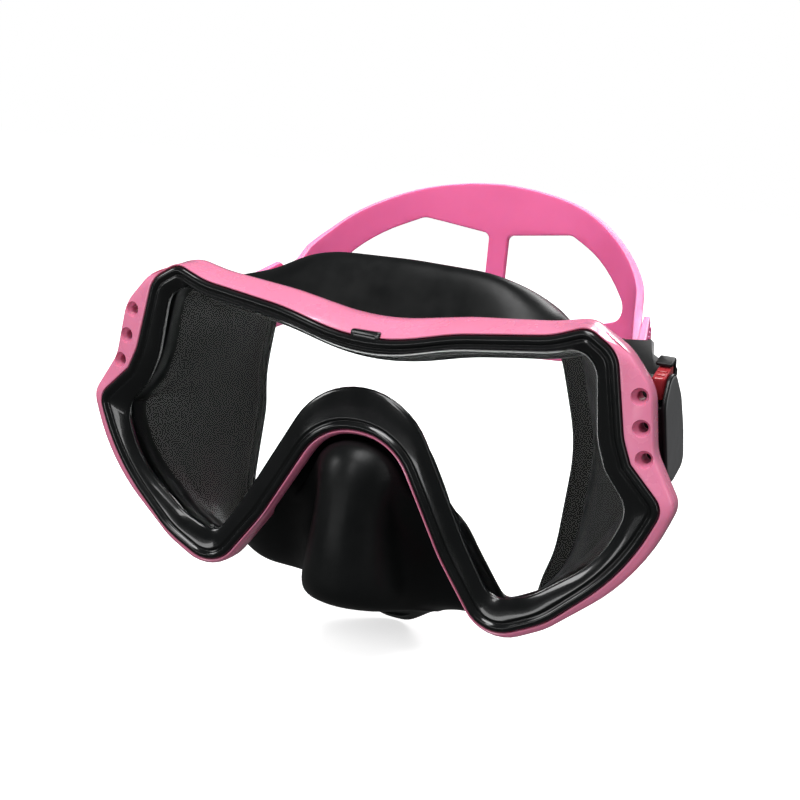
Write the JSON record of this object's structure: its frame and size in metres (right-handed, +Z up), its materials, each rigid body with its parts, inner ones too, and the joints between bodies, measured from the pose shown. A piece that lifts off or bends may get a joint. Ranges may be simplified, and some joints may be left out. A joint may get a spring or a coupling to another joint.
{
  "type": "diving mask",
  "caption": "Single-lens diving mask with a silicone skirt and nose pocket, a wide split strap, and swivel buckles that release when squeezed.",
  "frame": {"origin": "centre of the opening that seals on the wearer's face", "axes": "+X is the wearer's left, +Y goes towards the wearer's head, +Z is up; the lens faces -Y"},
  "size_m": [0.1704, 0.1037, 0.1286],
  "materials": {
    "pink_plastic": "glossy",
    "black_gloss": "glossy",
    "lens_glass": "polished",
    "black_silicone": "satin",
    "pink_silicone": "matte",
    "black_plastic": "satin",
    "grey_plastic": "matte",
    "red_plastic": "glossy",
    "steel": "brushed"
  },
  "bodies": {
    "mask": {"frame": "pink_plastic", "retaining_ring": "black_gloss", "lens": "lens_glass", "skirt": "black_silicone", "left_pivot_pin": "steel", "left_pivot_clip": "steel", "right_pivot_pin": "steel", "right_pivot_clip": "steel"},
    "strap": {"strap": "pink_silicone"},
    "left_buckle": {"left_buckle_housing": "black_plastic", "left_buckle_cover": "grey_plastic", "left_roller_pin": "steel", "left_pawl_pin": "steel", "left_upper_button_spring": "steel", "left_lower_button_spring": "steel"},
    "left_roller": {"left_strap_roller": "black_plastic"},
    "left_upper_release": {"left_upper_button": "red_plastic"},
    "left_lower_release": {"left_lower_button": "red_plastic"},
    "left_pawl": {"left_release_pawl": "black_plastic"},
    "right_buckle": {"right_buckle_housing": "black_plastic", "right_buckle_cover": "grey_plastic", "right_roller_pin": "steel", "right_pawl_pin": "steel", "right_upper_button_spring": "steel", "right_lower_button_spring": "steel"},
    "right_roller": {"right_strap_roller": "black_plastic"},
    "right_upper_release": {"right_upper_button": "red_plastic"},
    "right_lower_release": {"right_lower_button": "red_plastic"},
    "right_pawl": {"right_release_pawl": "black_plastic"}
  },
  "joints": [
    {"name": "strap_swing", "type": "hinge", "parent": "mask", "child": "strap", "pos_m": [0, -0.018, 0.02], "axis": [1, 0, 0], "range_deg": [-22, 10]},
    {"name": "left_buckle_swivel", "type": "hinge", "parent": "mask", "child": "left_buckle", "pos_m": [0, -0.018, 0.02], "axis": [1, 0, 0], "range_deg": [-22, 10]},
    {"name": "left_roller_spin", "type": "hinge", "parent": "left_buckle", "child": "left_roller", "pos_m": [0.065, -0.00927, 0.02389], "axis": [0, -0.309, 0.9511], "continuous": true},
    {"name": "left_upper_press", "type": "slide", "parent": "left_buckle", "child": "left_upper_release", "axis": [0, 0.309, -0.9511], "range_m": [0, 0.0016], "stiffness_N_per_m": 400, "springref_m": -0.002, "deforming": ["left_upper_button_spring"]},
    {"name": "left_lower_press", "type": "slide", "parent": "left_buckle", "child": "left_lower_release", "axis": [0, -0.309, 0.9511], "range_m": [0, 0.0016], "stiffness_N_per_m": 400, "springref_m": -0.002, "deforming": ["left_lower_button_spring"]},
    {"name": "left_pawl_release", "type": "hinge", "parent": "left_buckle", "child": "left_pawl", "pos_m": [0.0746, -0.01317, 0.02262], "axis": [0, -0.309, 0.9511], "range_deg": [0, 10]},
    {"name": "right_buckle_swivel", "type": "hinge", "parent": "mask", "child": "right_buckle", "pos_m": [0, -0.018, 0.02], "axis": [1, 0, 0], "range_deg": [-22, 10]},
    {"name": "right_roller_spin", "type": "hinge", "parent": "right_buckle", "child": "right_roller", "pos_m": [-0.065, -0.00927, 0.02389], "axis": [0, -0.309, 0.9511], "continuous": true},
    {"name": "right_upper_press", "type": "slide", "parent": "right_buckle", "child": "right_upper_release", "axis": [0, 0.309, -0.9511], "range_m": [0, 0.0016], "stiffness_N_per_m": 400, "springref_m": -0.002, "deforming": ["right_upper_button_spring"]},
    {"name": "right_lower_press", "type": "slide", "parent": "right_buckle", "child": "right_lower_release", "axis": [0, -0.309, 0.9511], "range_m": [0, 0.0016], "stiffness_N_per_m": 400, "springref_m": -0.002, "deforming": ["right_lower_button_spring"]},
    {"name": "right_pawl_release", "type": "hinge", "parent": "right_buckle", "child": "right_pawl", "pos_m": [-0.0746, -0.01317, 0.02262], "axis": [0, 0.309, -0.9511], "range_deg": [0, 10]}
  ],
  "couplings": [
    {"joint": "left_buckle_swivel", "follows": "strap_swing", "ratio": 1},
    {"joint": "left_lower_press", "follows": "left_upper_press", "ratio": 1},
    {"joint": "left_pawl_release", "follows": "left_upper_press", "rad_per_m": 105},
    {"joint": "right_buckle_swivel", "follows": "strap_swing", "ratio": 1},
    {"joint": "right_lower_press", "follows": "right_upper_press", "ratio": 1},
    {"joint": "right_pawl_release", "follows": "right_upper_press", "rad_per_m": 105}
  ]
}
